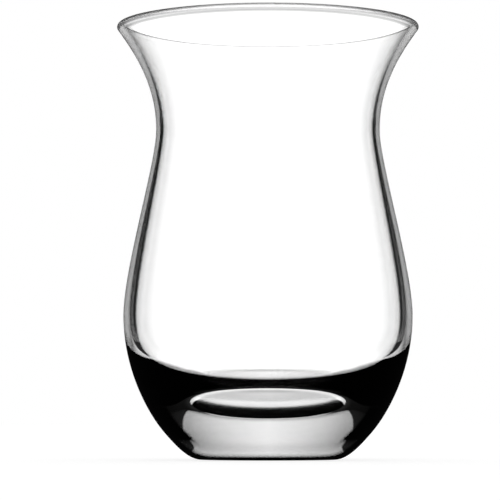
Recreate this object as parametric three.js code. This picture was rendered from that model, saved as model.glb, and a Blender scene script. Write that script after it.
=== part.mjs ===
// A clear tea glass: a flared drinking rim, a narrow waist, a round belly and a heavy solid base.
// Millimetres, +Z up. The origin is the centre of the flat foot, and the axis of the glass is Z.
import * as THREE from 'three';

// Overall size
const HEIGHT = 95;
const RIM_DIAMETER = 66;

// Outside of the glass, from the foot up
const FOOT_FLAT_DIAMETER = 28.8;
const FOOT_CORNER_REACH = 2.7;
const FLANK_DIAMETER = 44.9;
const FLANK_HEIGHT = 5.8;
const FLANK_LEAN = THREE.MathUtils.degToRad(41);
const FLANK_REACH_DOWN = 4.4;
const FLANK_REACH_UP = 5.3;
const BELLY_DIAMETER = 62.9;
const BELLY_HEIGHT = 31.3;
const BELLY_REACH_DOWN = 11.9;
const BELLY_REACH_UP = 9.9;
const WAIST_DIAMETER = 48.8;
const WAIST_HEIGHT = 71.7;
const WAIST_REACH_DOWN = 6.8;
const WAIST_REACH_UP = 9;
const FLARE_LEAN = THREE.MathUtils.degToRad(36.4);
const FLARE_REACH = 7.9;

// Wall, measured across it, and the bowl of the inside
const RIM_WALL = 1.3;
const WAIST_WALL = 1.5;
const BELLY_WALL = 2.6;
const FLOOR_HEIGHT = 11.8;
const BOWL_FULLNESS = 0.7;

// Facets
const STEPS_PER_CURVE = 9;
const SEGMENTS_AROUND = 64;

const CLEAR_GLASS = new THREE.MeshStandardMaterial({
  color: 0xf2f5f5,
  roughness: 0.03,
  metalness: 0,
  transparent: true,
  opacity: 0.35,
});

// A point that lies a given reach from another one, along a lean from the vertical.
function along(point, lean, reach) {
  return new THREE.Vector2(
    point.x + reach * Math.sin(lean),
    point.y + reach * Math.cos(lean),
  );
}

// Adds a smooth curve to the outline, from where it ends to the point, pulled by two handles.
function curveTo(outline, firstHandle, secondHandle, point) {
  outline.bezierCurveTo(firstHandle.x, firstHandle.y, secondHandle.x, secondHandle.y, point.x, point.y);
}

// Half of the section through the axis: x is the radius and y the height.
// It runs out along the foot, up the outside, over the rounded lip and down the inside.
function sectionOutline() {
  const foot = new THREE.Vector2(FOOT_FLAT_DIAMETER / 2, 0);
  const flank = new THREE.Vector2(FLANK_DIAMETER / 2, FLANK_HEIGHT);
  const belly = new THREE.Vector2(BELLY_DIAMETER / 2, BELLY_HEIGHT);
  const waist = new THREE.Vector2(WAIST_DIAMETER / 2, WAIST_HEIGHT);
  const lipRadius = RIM_WALL / 2;
  const lip = new THREE.Vector2(RIM_DIAMETER / 2 - lipRadius, HEIGHT - lipRadius);
  const lipOut = along(lip, FLARE_LEAN + Math.PI / 2, lipRadius);
  const lipIn = along(lip, FLARE_LEAN - Math.PI / 2, lipRadius);
  const innerWaist = new THREE.Vector2(waist.x - WAIST_WALL, WAIST_HEIGHT);
  const innerBelly = new THREE.Vector2(belly.x - BELLY_WALL, BELLY_HEIGHT);
  const innerFloor = new THREE.Vector2(0, FLOOR_HEIGHT);

  const outline = new THREE.Path();
  outline.moveTo(0, 0);
  outline.lineTo(foot.x, foot.y);
  curveTo(
    outline,
    new THREE.Vector2(foot.x + FOOT_CORNER_REACH, 0),
    along(flank, FLANK_LEAN, -FLANK_REACH_DOWN),
    flank,
  );
  curveTo(
    outline,
    along(flank, FLANK_LEAN, FLANK_REACH_UP),
    along(belly, 0, -BELLY_REACH_DOWN),
    belly,
  );
  curveTo(outline, along(belly, 0, BELLY_REACH_UP), along(waist, 0, -WAIST_REACH_DOWN), waist);
  curveTo(outline, along(waist, 0, WAIST_REACH_UP), along(lipOut, FLARE_LEAN, -FLARE_REACH), lipOut);
  outline.absarc(lip.x, lip.y, lipRadius, -FLARE_LEAN, Math.PI - FLARE_LEAN, false);
  outline.currentPoint.copy(lipIn);
  curveTo(
    outline,
    along(lipIn, FLARE_LEAN, -FLARE_REACH),
    along(innerWaist, 0, WAIST_REACH_UP),
    innerWaist,
  );
  curveTo(
    outline,
    along(innerWaist, 0, -WAIST_REACH_DOWN),
    along(innerBelly, 0, BELLY_REACH_UP),
    innerBelly,
  );
  curveTo(
    outline,
    along(innerBelly, 0, -BOWL_FULLNESS * (BELLY_HEIGHT - FLOOR_HEIGHT)),
    new THREE.Vector2(BOWL_FULLNESS * innerBelly.x, FLOOR_HEIGHT),
    innerFloor,
  );
  return outline;
}

// The one solid of the glass: the section turned about the axis and stood upright.
function glassBody() {
  const section = sectionOutline().getPoints(STEPS_PER_CURVE);
  const body = new THREE.Mesh(new THREE.LatheGeometry(section, SEGMENTS_AROUND), CLEAR_GLASS);
  body.name = 'glass';
  body.rotation.x = Math.PI / 2;
  return body;
}

const teaGlass = new THREE.Group();
teaGlass.add(glassBody());

export default teaGlass;
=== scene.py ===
"""A clear tea glass on a pale light table, in front of a bright panel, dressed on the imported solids."""
import logging
import math
from dataclasses import dataclass, field
from enum import Enum
from typing import Any, Mapping, Optional, Union

import bpy
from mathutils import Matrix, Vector


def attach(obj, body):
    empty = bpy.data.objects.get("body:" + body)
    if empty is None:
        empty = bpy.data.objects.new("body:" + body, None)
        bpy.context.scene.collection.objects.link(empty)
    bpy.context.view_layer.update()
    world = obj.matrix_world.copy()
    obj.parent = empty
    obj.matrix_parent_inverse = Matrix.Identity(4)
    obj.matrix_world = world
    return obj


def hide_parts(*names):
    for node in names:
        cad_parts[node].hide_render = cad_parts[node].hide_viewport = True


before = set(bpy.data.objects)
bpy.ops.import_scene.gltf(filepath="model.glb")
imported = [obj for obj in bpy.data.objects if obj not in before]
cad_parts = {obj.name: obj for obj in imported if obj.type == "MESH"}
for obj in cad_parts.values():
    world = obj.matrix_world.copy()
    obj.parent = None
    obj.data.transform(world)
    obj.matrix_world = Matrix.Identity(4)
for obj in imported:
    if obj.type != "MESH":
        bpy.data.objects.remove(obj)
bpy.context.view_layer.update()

LOG = logging.getLogger("tea_glass")
MM = 0.001

Number = Union["Value", float]
Colour = tuple[float, float, float, float]
WHITE: Colour = (1.0, 1.0, 1.0, 1.0)

# The colour sockets of a Mix node, which share their names with its other sockets.
MIX_FIRST = 6
MIX_SECOND = 7
MIX_RESULT = 2


class Sum(Enum):
    """The sums that a Math node works out."""

    ADD = "ADD"
    SUBTRACT = "SUBTRACT"
    MULTIPLY = "MULTIPLY"
    ABSOLUTE = "ABSOLUTE"
    ANGLE = "ARCTAN2"
    ARC_SINE = "ARCSINE"
    LARGER = "MAXIMUM"


class Fade(Enum):
    """How a value passes from one end of a range to the other."""

    STRAIGHT = "LINEAR"
    SOFT = "SMOOTHSTEP"


class Value:
    """A number in a shader: arithmetic on it adds Math nodes."""

    def __init__(self, board: "NodeBoard", socket: bpy.types.NodeSocket) -> None:
        """Wraps one output socket of a node on the board."""
        self.board = board
        self.socket = socket

    def __add__(self, other: Number) -> "Value":
        """This number and another one, added."""
        return self.board.sum(Sum.ADD, self, other)

    def __sub__(self, other: Number) -> "Value":
        """This number less another one."""
        return self.board.sum(Sum.SUBTRACT, self, other)

    def __rsub__(self, other: Number) -> "Value":
        """Another number less this one."""
        return self.board.sum(Sum.SUBTRACT, other, self)

    def __mul__(self, other: Number) -> "Value":
        """This number times another one."""
        return self.board.sum(Sum.MULTIPLY, self, other)

    def __abs__(self) -> "Value":
        """The size of this number, without its sign."""
        return self.board.sum(Sum.ABSOLUTE, self)

    def fade(self, start: float, end: float, kind: Fade = Fade.SOFT) -> "Value":
        """Goes from 0 to 1 as this number goes from start to end.

        Args:
            start: The number at which the result is still 0.
            end: The number from which the result is 1.
            kind: How the result passes between them.

        Returns:
            The result as a new number.
        """
        turned = start > end
        low, high = (end, start) if turned else (start, end)
        node = self.board.node(
            "ShaderNodeMapRange",
            {"interpolation_type": kind.value, "clamp": True},
            {
                "Value": self,
                "From Min": low,
                "From Max": high,
                "To Min": float(turned),
                "To Max": float(not turned),
            },
        )
        return Value(self.board, node.outputs["Result"])


@dataclass(frozen=True)
class Pattern:
    """A soft random pattern: its repeats in a metre, along each axis, and its finer layers."""

    repeats: tuple[float, float, float]
    layers: float


class NodeBoard:
    """The nodes of one material or world."""

    def __init__(self, tree: bpy.types.NodeTree) -> None:
        """Starts with an empty tree."""
        self.tree = tree
        tree.nodes.clear()

    def node(
        self,
        kind: str,
        settings: Optional[Mapping[str, Any]] = None,
        sockets: Optional[Mapping[Union[str, int], Any]] = None,
    ) -> bpy.types.Node:
        """Adds a node.

        Args:
            kind: The node's type.
            settings: Its own settings, which are set first.
            sockets: What goes into its input sockets, as numbers, colours or links.

        Returns:
            The new node.
        """
        node = self.tree.nodes.new(kind)
        for name, setting in (settings or {}).items():
            setattr(node, name, setting)
        for name, given in (sockets or {}).items():
            if isinstance(given, Value):
                self.tree.links.new(given.socket, node.inputs[name])
            elif isinstance(given, bpy.types.NodeSocket):
                self.tree.links.new(given, node.inputs[name])
            else:
                node.inputs[name].default_value = given
        return node

    def sum(self, operation: Sum, *numbers: Number) -> Value:
        """Adds a Math node.

        Args:
            operation: What it works out.
            numbers: The one or two numbers it works on.

        Returns:
            Its result.
        """
        node = self.node("ShaderNodeMath", {"operation": operation.value}, dict(enumerate(numbers)))
        return Value(self, node.outputs[0])

    def places(self) -> bpy.types.NodeSocket:
        """The place of each point in its own object, in metres."""
        return self.node("ShaderNodeTexCoord").outputs["Object"]

    def parts(self, vector: bpy.types.NodeSocket) -> tuple[Value, Value, Value]:
        """The x, y and z of a vector."""
        split = self.node("ShaderNodeSeparateXYZ", None, {"Vector": vector})
        return Value(self, split.outputs[0]), Value(self, split.outputs[1]), Value(self, split.outputs[2])

    def noise(self, place: bpy.types.NodeSocket, pattern: Pattern) -> Value:
        """Adds a soft random pattern.

        Args:
            place: Where the pattern is read.
            pattern: How it repeats.

        Returns:
            A number around one half.
        """
        scaled = self.node("ShaderNodeMapping", None, {"Vector": place, "Scale": pattern.repeats})
        node = self.node(
            "ShaderNodeTexNoise",
            {"noise_dimensions": "3D"},
            {"Vector": scaled.outputs["Vector"], "Scale": 1.0, "Detail": pattern.layers, "Roughness": 0.5},
        )
        return Value(self, node.outputs["Fac"])

    def end(self, shader: bpy.types.Node, kind: str = "ShaderNodeOutputMaterial") -> None:
        """Joins the shader to the output."""
        self.node(kind, None, {"Surface": shader.outputs[0]})


@dataclass(frozen=True)
class ClearGlass:
    """Fire-polished clear glass, faintly uneven, with a fine-ground lip and a ground foot.

    It greys where it is thick, partly as thick glass and partly as painted shade. Its foot and underside
    darken in a painted contact shadow, a painted dark ring lies under its lip, and its wall darkens in
    painted dark edges where it is seen at a shallow angle. Heights are in metres above the foot. Angles run
    from 0, seen straight on, to 1, seen edge on.
    """

    name: str = "clear_glass"
    refraction: float = 1.52
    clear: float = 1.0
    cloudy: float = 0.985
    cloud: Pattern = Pattern((35.0, 35.0, 20.0), 1.0)
    cloud_start: float = 0.35
    cloud_full: float = 0.65
    outside_full: float = 1 * MM
    angle_blend: float = 0.5
    # Greyer in the thick base: partly the thick glass, partly painted shade.
    thick: float = 0.32
    thick_from: float = 16 * MM
    thick_full: float = 11 * MM
    # Painted contact shadow: the foot's outside darkens to this tone near the table.
    painted_contact_shadow: float = 0.0
    contact_from: float = 1.9 * MM
    contact_full: float = 0.5 * MM
    # Painted shadow: the tone of the underside seen from within, as if the table under the foot lay in shade.
    underside: float = 0.31
    underside_from: float = 0.02 * MM
    underside_grain: float = 0.16
    # Painted shade: how far the outside darkens where it is seen at a shallow angle, as dark edges with a
    # dark line inside them on the wall, and as dark flanks, sides and corners on the base.
    edge: float = 0.76
    edge_start: float = 0.60
    edge_full: float = 0.72
    painted_dark_line: float = 0.21
    line_start: float = 0.56
    line_full: float = 0.62
    line_fade: float = 0.70
    line_end: float = 0.77
    edge_from: float = 115 * MM
    edge_to: float = 77 * MM
    base_edge: float = 0.765
    base_edge_start: float = 0.22
    base_edge_full: float = 0.60
    base_edge_from: float = 1.5 * MM
    base_edge_to: float = 4.5 * MM
    side_start: float = 0.445
    side_full: float = 0.545
    corner_start: float = 0.57
    corner_full: float = 0.73
    # Painted shade: a dark ring on the outside just under the lip.
    painted_lip_ring: float = 0.76
    ring_from: float = 93.3 * MM
    ring_full: float = 93.85 * MM
    ring_fade: float = 94.0 * MM
    ring_end: float = 94.3 * MM
    lip_from: float = 94.3 * MM
    lip_full: float = 94.6 * MM
    lip_grain: float = 0.52
    smear: float = 0.01
    smears: Pattern = Pattern((160.0, 160.0, 60.0), 3.0)
    smear_start: float = 0.55
    smear_full: float = 0.75
    ripple: float = 0.003 * MM
    ripples: Pattern = Pattern((70.0, 70.0, 28.0), 1.0)

    def outside(self, board: NodeBoard, place: bpy.types.NodeSocket) -> Value:
        """Where light meets the glass from outside.

        Args:
            board: The material's nodes.
            place: The place of each point.

        Returns:
            1 there, and 0 inside the bowl, under the foot and where light leaves the glass.
        """
        level = (1.0, 1.0, 0.0)
        flat = board.node("ShaderNodeVectorMath", {"operation": "MULTIPLY"}, {0: place, 1: level})
        normal = board.node("ShaderNodeNewGeometry").outputs["Normal"]
        outward = {0: flat.outputs[0], 1: normal}
        dot = board.node("ShaderNodeVectorMath", {"operation": "DOT_PRODUCT"}, outward)
        return Value(board, dot.outputs["Value"]).fade(0.0, self.outside_full)

    def painted_edge_shade(self, board: NodeBoard, height: Value, thick: Value) -> Value:
        """Painted shade: how much darker the outside's colour is where it is seen at a shallow angle.

        Args:
            board: The material's nodes.
            height: The height of each point.
            thick: 1 in the thick base, and 0 above it.

        Returns:
            0 where it faces the eye, up to 1 on its edge.
        """
        weight = board.node("ShaderNodeLayerWeight", None, {"Blend": self.angle_blend})
        facing = Value(board, weight.outputs["Facing"])
        # A painted dark line just inside the painted dark edge of the wall.
        painted_dark_line = facing.fade(self.line_start, self.line_full) * facing.fade(self.line_end, self.line_fade)
        wall = facing.fade(self.edge_start, self.edge_full) * self.edge + painted_dark_line * self.painted_dark_line
        wall = wall * height.fade(self.edge_from, self.edge_to)
        flank = thick * height.fade(self.base_edge_from, self.base_edge_to)
        base = facing.fade(self.base_edge_start, self.base_edge_full) * flank * self.base_edge
        side = facing.fade(self.side_start, self.side_full) * flank
        corner = facing.fade(self.corner_start, self.corner_full) * thick
        return board.sum(Sum.LARGER, board.sum(Sum.LARGER, wall, base), board.sum(Sum.LARGER, side, corner))

    def make(self) -> bpy.types.Material:
        """Makes the material.

        Returns:
            The glass material.
        """
        material = bpy.data.materials.new(self.name)
        material.use_nodes = True
        board = NodeBoard(material.node_tree)
        place = board.places()
        height = board.parts(place)[2]
        cloud = board.noise(place, self.cloud).fade(self.cloud_start, self.cloud_full)
        thick = height.fade(self.thick_from, self.thick_full)
        painted_contact_shadow = height.fade(self.contact_from, self.contact_full)
        underside = height.fade(self.underside_from, 0.0)
        outside = self.outside(board, place)
        tone = self.clear - cloud * (self.clear - self.cloudy)
        # The outside greys in the thick base, partly as thick glass and partly as painted shade, and goes
        # black in a painted contact shadow at the foot.
        tone = tone - outside * (thick * (1.0 - self.thick) + painted_contact_shadow * (self.thick - self.painted_contact_shadow))
        # Painted contact shadow: the underside, seen from within, darkens as if the table under the foot were
        # in shade.
        tone = tone - (1.0 - outside) * painted_contact_shadow * (1.0 - self.underside)
        # Painted shade: dark edges, a dark line and dark base flanks where the outside is seen at a shallow
        # angle.
        tone = tone * (1.0 - outside * self.painted_edge_shade(board, height, thick))
        # Painted shade: a dark ring just under the lip.
        painted_lip_ring = height.fade(self.ring_from, self.ring_full) * height.fade(self.ring_end, self.ring_fade)
        tone = tone * (1.0 - outside * painted_lip_ring * self.painted_lip_ring)
        smears = board.noise(place, self.smears).fade(self.smear_start, self.smear_full)
        lip = height.fade(self.lip_from, self.lip_full)
        roughness = smears * self.smear + underside * self.underside_grain + lip * self.lip_grain
        ripples = board.noise(place, self.ripples)
        bump = board.node(
            "ShaderNodeBump", None, {"Strength": 1.0, "Distance": self.ripple, "Height": ripples}
        )
        shader = board.node(
            "ShaderNodeBsdfPrincipled",
            None,
            {
                "Base Color": tone,
                "Roughness": roughness,
                "IOR": self.refraction,
                "Transmission Weight": 1.0,
                "Normal": bump.outputs[0],
            },
        )
        board.end(shader)
        return material


@dataclass(frozen=True)
class PaleTable:
    """A matt white table top, lit a little from inside."""

    name: str = "pale_table"
    light_patch: Colour = (0.26, 0.26, 0.26, 1.0)
    dark_patch: Colour = (0.24, 0.24, 0.24, 1.0)
    cloud: Pattern = Pattern((6.0, 6.0, 6.0), 2.0)
    cloud_start: float = 0.3
    cloud_full: float = 0.7
    roughness: float = 0.8
    glow: float = 0.82

    def make(self) -> bpy.types.Material:
        """Makes the material.

        Returns:
            The table's material.
        """
        material = bpy.data.materials.new(self.name)
        material.use_nodes = True
        board = NodeBoard(material.node_tree)
        cloud = board.noise(board.places(), self.cloud).fade(self.cloud_start, self.cloud_full)
        white = board.node(
            "ShaderNodeMix",
            {"data_type": "RGBA"},
            {"Factor": cloud, MIX_FIRST: self.light_patch, MIX_SECOND: self.dark_patch},
        )
        shader = board.node(
            "ShaderNodeBsdfPrincipled",
            None,
            {
                "Base Color": white.outputs[MIX_RESULT],
                "Roughness": self.roughness,
                "Emission Color": WHITE,
                "Emission Strength": self.glow,
            },
        )
        board.end(shader)
        return material


@dataclass(frozen=True)
class BackLight:
    """A bright panel straight behind the glass that runs on under it, with a dark room round it.

    Angles are in degrees as seen from the glass, to the side of straight behind and up from level. The panel
    is wider by the widenings high up and low down.
    """

    name: str = "back_light"
    middle: float = 1.7
    rim: float = 1.0
    side: float = 25.0
    side_soft: float = 0.8
    high_widening: float = 2.2
    high_start: float = 4.0
    high_full: float = 9.0
    low_widening: float = 3.6
    low_start: float = 4.8
    low_full: float = 1.8
    upper: float = 0.85
    upper_start: float = 6.0
    upper_full: float = 20.0
    top: float = 27.0
    top_end: float = 40.0
    lower: float = 0.65
    lower_start: float = -44.0
    lower_full: float = -56.0
    halo: float = 0.025
    halo_end: float = 58.0
    room: float = 0.010
    table: float = 0.6
    table_start: float = -30.0
    table_full: float = -42.0

    def make(self) -> bpy.types.Material:
        """Makes the material.

        Returns:
            The material of the dome that carries the panel.
        """
        material = bpy.data.materials.new(self.name)
        material.use_nodes = True
        board = NodeBoard(material.node_tree)
        ray = board.node("ShaderNodeVectorMath", {"operation": "NORMALIZE"}, {0: board.places()})
        across, behind, up = board.parts(ray.outputs[0])
        degrees = 180.0 / math.pi
        turn = abs(board.sum(Sum.ANGLE, across, behind)) * degrees
        rise = board.sum(Sum.ARC_SINE, up) * degrees
        high = rise.fade(self.high_start, self.high_full) * self.high_widening
        low = rise.fade(self.low_start, self.low_full) * self.low_widening
        past_side = turn - high - low - self.side
        spread = self.middle - turn.fade(0.0, self.side, Fade.STRAIGHT) * (self.middle - self.rim)
        above = 1.0 - rise.fade(self.upper_start, self.upper_full) * (1.0 - self.upper)
        below = 1.0 - rise.fade(self.lower_start, self.lower_full) * (1.0 - self.lower)
        within = past_side.fade(self.side_soft, 0.0, Fade.STRAIGHT) * rise.fade(self.top_end, self.top)
        panel = spread * above * below * within
        table = rise.fade(self.table_start, self.table_full) * self.table
        halo = turn.fade(self.halo_end, self.side) * rise.fade(self.top_end, self.top) * self.halo
        outside = (1.0 - within) * (table + halo)
        glow = board.node("ShaderNodeEmission", None, {"Color": panel + outside + self.room, "Strength": 1.0})
        board.end(glow)
        return material


@dataclass(frozen=True)
class Knot:
    """A point of the section with the two handles that pull the curve through it."""

    place: Vector
    before: Vector
    after: Vector


@dataclass
class GlassBody:
    """The one solid of the tea glass, turned about its upright axis. Sizes are in metres."""

    height: float = 95 * MM
    rim_diameter: float = 66 * MM
    foot_flat_diameter: float = 28.8 * MM
    foot_corner_reach: float = 2.7 * MM
    flank_diameter: float = 44.9 * MM
    flank_height: float = 5.8 * MM
    flank_lean: float = math.radians(41)
    flank_reach_down: float = 4.4 * MM
    flank_reach_up: float = 5.3 * MM
    belly_diameter: float = 62.9 * MM
    belly_height: float = 31.3 * MM
    belly_reach_down: float = 11.9 * MM
    belly_reach_up: float = 9.9 * MM
    waist_diameter: float = 48.8 * MM
    waist_height: float = 71.7 * MM
    waist_reach_down: float = 6.8 * MM
    waist_reach_up: float = 9 * MM
    flare_lean: float = math.radians(36.4)
    flare_reach: float = 7.9 * MM
    rim_wall: float = 1.3 * MM
    waist_wall: float = 1.5 * MM
    belly_wall: float = 2.6 * MM
    floor_height: float = 11.8 * MM
    bowl_fullness: float = 0.7
    steps_per_curve: int = 20
    steps_around: int = 384
    weld_distance: float = 0.001 * MM
    smooth_angle: float = math.radians(40)
    finish: ClearGlass = field(default_factory=ClearGlass)

    @staticmethod
    def along(point: Vector, lean: float, reach: float) -> Vector:
        """The point that lies a reach from another one, along a lean from the vertical."""
        return point + Vector((math.sin(lean), 0.0, math.cos(lean))) * reach

    def knot(self, place: Vector, lean: float, before: float, after: float) -> Knot:
        """A knot whose handles lie along one lean, a reach before it and a reach after it."""
        return Knot(place, self.along(place, lean, -before), self.along(place, lean, after))

    def lip_knots(self) -> list[Knot]:
        """The rounded lip.

        Returns:
            The knots outside, on top of and inside the lip.
        """
        radius = self.rim_wall / 2
        centre = Vector((self.rim_diameter / 2 - radius, 0.0, self.height - radius))
        # The handle that bends a curve into a quarter of a circle.
        quarter = radius * 4 / 3 * math.tan(math.pi / 8)
        outer = self.along(centre, self.flare_lean + math.pi / 2, radius)
        crown = self.along(centre, self.flare_lean, radius)
        inner = self.along(centre, self.flare_lean - math.pi / 2, radius)
        return [
            self.knot(outer, self.flare_lean, self.flare_reach, quarter),
            self.knot(crown, self.flare_lean - math.pi / 2, quarter, quarter),
            self.knot(inner, self.flare_lean + math.pi, quarter, self.flare_reach),
        ]

    def section(self) -> list[Knot]:
        """Half of the section through the axis: out along the foot, up the outside and down the inside.

        Returns:
            Its knots in order.
        """
        level = math.pi / 2
        down = math.pi
        centre = Vector((0.0, 0.0, 0.0))
        foot = Vector((self.foot_flat_diameter / 2, 0.0, 0.0))
        flank = Vector((self.flank_diameter / 2, 0.0, self.flank_height))
        belly = Vector((self.belly_diameter / 2, 0.0, self.belly_height))
        waist = Vector((self.waist_diameter / 2, 0.0, self.waist_height))
        inner_waist = waist - Vector((self.waist_wall, 0.0, 0.0))
        inner_belly = belly - Vector((self.belly_wall, 0.0, 0.0))
        inner_floor = Vector((0.0, 0.0, self.floor_height))
        third = foot.x / 3
        bowl_reach = self.bowl_fullness * (self.belly_height - self.floor_height)
        floor_reach = self.bowl_fullness * inner_belly.x
        return [
            self.knot(centre, level, third, third),
            self.knot(foot, level, third, self.foot_corner_reach),
            self.knot(flank, self.flank_lean, self.flank_reach_down, self.flank_reach_up),
            self.knot(belly, 0.0, self.belly_reach_down, self.belly_reach_up),
            self.knot(waist, 0.0, self.waist_reach_down, self.waist_reach_up),
            *self.lip_knots(),
            self.knot(inner_waist, down, self.waist_reach_up, self.waist_reach_down),
            self.knot(inner_belly, down, self.belly_reach_up, bowl_reach),
            self.knot(inner_floor, -level, floor_reach, floor_reach),
        ]

    def build(self) -> bpy.types.Object:
        """Draws the section as a curve and spins it about the axis.

        Returns:
            The closed glass, at the origin.
        """
        bpy.ops.object.select_all(action="DESELECT")
        bpy.ops.curve.primitive_bezier_curve_add(radius=self.height / 2)
        curve = bpy.context.object
        spline = curve.data.splines[0]
        knots = self.section()
        spline.bezier_points.add(len(knots) - len(spline.bezier_points))
        spline.resolution_u = self.steps_per_curve
        for point, knot in zip(spline.bezier_points, knots):
            point.handle_left_type = point.handle_right_type = "FREE"
            point.co = knot.place
            point.handle_left = knot.before
            point.handle_right = knot.after
        bpy.ops.object.convert(target="MESH")
        body = bpy.context.object
        body.name = body.data.name = "glass_body"
        bpy.ops.object.mode_set(mode="EDIT")
        bpy.ops.mesh.select_all(action="SELECT")
        bpy.ops.mesh.spin(
            steps=self.steps_around, angle=math.tau, center=(0.0, 0.0, 0.0), axis=(0.0, 0.0, 1.0)
        )
        bpy.ops.mesh.select_all(action="SELECT")
        bpy.ops.mesh.remove_doubles(threshold=self.weld_distance)
        bpy.ops.mesh.normals_make_consistent(inside=False)
        bpy.ops.object.mode_set(mode="OBJECT")
        bpy.ops.object.shade_smooth_by_angle(angle=self.smooth_angle)
        return body

    def dress(self, body: bpy.types.Object) -> None:
        """Gives the glass its finish and its place in the frame.

        Args:
            body: The glass.
        """
        body.data.materials.clear()
        body.data.materials.append(self.finish.make())
        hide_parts("glass")
        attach(body, "root")


@dataclass
class Viewpoint:
    """The camera, a little above the foot, that looks at the middle of the picture.

    Sizes are in metres, apart from the sensor's width in millimetres.
    """

    distance: float = 0.60
    eye_height: float = 8.0 * MM
    aim_across: float = -3.91 * MM
    aim_height: float = 45.6 * MM
    pixels_across: int = 500
    pixels_per_mm: float = 4.585
    nearest: float = 0.01
    sensor: float = 36.0

    def build(self) -> bpy.types.Object:
        """Adds the camera and makes it the scene's own.

        Returns:
            The camera.
        """
        eye = Vector((0.0, -self.distance, self.eye_height))
        aim = Vector((self.aim_across, 0.0, self.aim_height)) - eye
        picture_width = self.pixels_across / self.pixels_per_mm * MM
        bpy.ops.object.camera_add(location=eye, rotation=aim.to_track_quat("-Z", "Y").to_euler())
        camera = bpy.context.object
        camera.name = "camera"
        camera.data.sensor_width = self.sensor
        camera.data.lens = self.sensor * aim.length / picture_width
        camera.data.clip_start = self.nearest
        camera.data.dof.use_dof = False
        bpy.context.scene.camera = camera
        return camera


@dataclass
class Studio:
    """The pale table, the dome with the bright panel and the white room. Metres."""

    table_radius: float = 8.0
    table_drop: float = 0.05 * MM
    dome_radius: float = 10.0
    dome_height: float = 45.0 * MM
    steps_around: int = 96
    dome_rings: int = 48
    room_light: float = 1.0
    room_in_reflections: float = 0.004
    bounces: int = 32
    mirror_bounces: int = 3
    table_finish: PaleTable = field(default_factory=PaleTable)
    light: BackLight = field(default_factory=BackLight)

    def build_table(self) -> bpy.types.Object:
        """Adds the round table top, which is neither mirrored in the glass nor seen through it.

        Returns:
            The table.
        """
        bpy.ops.object.select_all(action="DESELECT")
        bpy.ops.mesh.primitive_circle_add(
            vertices=self.steps_around,
            radius=self.table_radius,
            fill_type="NGON",
            location=(0.0, 0.0, -self.table_drop),
        )
        table = bpy.context.object
        table.name = "table"
        table.data.materials.append(self.table_finish.make())
        table.visible_transmission = False
        table.visible_glossy = False
        return table

    def build_dome(self, camera: bpy.types.Object) -> bpy.types.Object:
        """Adds the dome round the glass, carried by the camera so that the panel stays behind the glass.

        Args:
            camera: The camera that carries it.

        Returns:
            The dome.
        """
        bpy.ops.object.select_all(action="DESELECT")
        bpy.ops.mesh.primitive_uv_sphere_add(
            segments=self.steps_around,
            ring_count=self.dome_rings,
            radius=self.dome_radius,
            location=(0.0, 0.0, self.dome_height),
        )
        dome = bpy.context.object
        dome.name = "dome"
        bpy.ops.object.mode_set(mode="EDIT")
        bpy.ops.mesh.flip_normals()
        bpy.ops.object.mode_set(mode="OBJECT")
        dome.data.materials.append(self.light.make())
        dome.visible_camera = False
        dome.visible_diffuse = False
        dome.visible_glossy = False
        dome.visible_shadow = False
        bpy.context.view_layer.update()
        dome.parent = camera
        dome.matrix_parent_inverse = camera.matrix_world.inverted()
        return dome

    def build_room(self) -> None:
        """Makes the room white, shows tones as they are and says how often light is mirrored or bent."""
        scene = bpy.context.scene
        scene.world = bpy.data.worlds.new("room")
        scene.world.use_nodes = True
        board = NodeBoard(scene.world.node_tree)
        mirrored = Value(board, board.node("ShaderNodeLightPath").outputs["Is Glossy Ray"])
        tone = self.room_light - mirrored * (self.room_light - self.room_in_reflections)
        white = board.node("ShaderNodeBackground", None, {"Color": tone, "Strength": 1.0})
        board.end(white, "ShaderNodeOutputWorld")
        scene.view_settings.view_transform = "Standard"
        scene.view_settings.look = "None"
        scene.cycles.max_bounces = self.bounces
        scene.cycles.glossy_bounces = self.mirror_bounces
        scene.cycles.transmission_bounces = self.bounces


def main() -> None:
    """Builds the glass, then the camera and the studio, and reports each piece."""
    logging.basicConfig(level=logging.INFO, format="%(message)s")
    glass = GlassBody()
    body = glass.build()
    glass.dress(body)
    LOG.info("%s: %d faces", body.name, len(body.data.polygons))
    camera = Viewpoint().build()
    LOG.info("%s: %.1f mm lens", camera.name, camera.data.lens)
    studio = Studio()
    studio.build_room()
    for piece in (studio.build_table(), studio.build_dome(camera)):
        LOG.info("%s: stage", piece.name)


if __name__ == "__main__":
    main()
